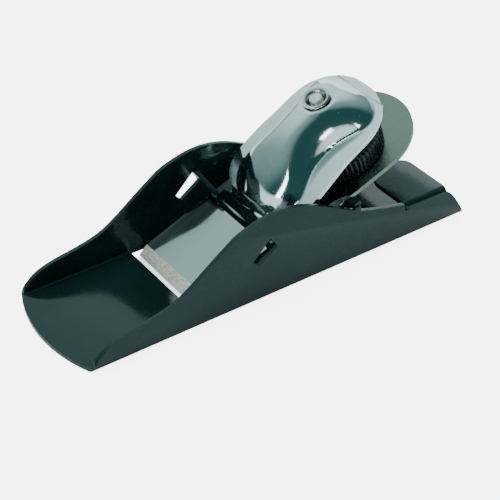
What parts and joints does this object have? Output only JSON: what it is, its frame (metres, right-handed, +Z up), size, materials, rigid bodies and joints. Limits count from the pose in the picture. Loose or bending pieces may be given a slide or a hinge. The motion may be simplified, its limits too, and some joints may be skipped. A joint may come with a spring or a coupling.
{
  "type": "hand plane",
  "caption": "Small pressed-steel block plane: channel body with arched walls, bevel-up cutter, domed lever cap and knurled clamping wheel.",
  "frame": {"origin": "middle of the sole's length and width, on the sole's running face", "axes": "+X from the toe to the heel, +Y across the body, +Z up from the sole"},
  "size_m": [0.1574, 0.048, 0.0549],
  "materials": {
    "black_lacquer": "glossy black lacquer on pressed sheet steel",
    "cutter_steel": "polished front, brushed rear",
    "cap_chrome": "bright chrome plate",
    "bushing_steel": "plated turned steel",
    "screw_steel": "turned steel",
    "wheel_black": "blackened ribbed steel, satin"
  },
  "bodies": {
    "plane_body": {"body_pressing": "black_lacquer"},
    "cutter": {"cutter": "cutter_steel"},
    "lever_cap": {"lever_cap": "cap_chrome", "cap_bushing": "bushing_steel"},
    "clamp_screw": {"clamp_screw": "screw_steel"},
    "thumb_wheel": {"thumb_wheel": "wheel_black"}
  },
  "joints": [
    {"name": "cutter_depth", "type": "slide", "parent": "plane_body", "child": "cutter", "axis": [0.9272, 0, 0.3746], "range_m": [-0.0008, 0.02]},
    {"name": "cap_slide", "type": "slide", "parent": "plane_body", "child": "lever_cap", "axis": [0.9272, 0, 0.3746], "range_m": [0, 0.012]},
    {"name": "screw_travel", "type": "slide", "parent": "lever_cap", "child": "clamp_screw", "axis": [-0.3746, 0, 0.9272], "range_m": [0, 0.00161]},
    {"name": "wheel_turn", "type": "hinge", "parent": "clamp_screw", "child": "thumb_wheel", "pos_m": [0.03931, 0, 0.02772], "axis": [-0.3746, 0, 0.9272], "range_deg": [0, 720]}
  ],
  "couplings": [
    {"joint": "screw_travel", "follows": "wheel_turn", "m_per_rad": 0.00012732}
  ]
}
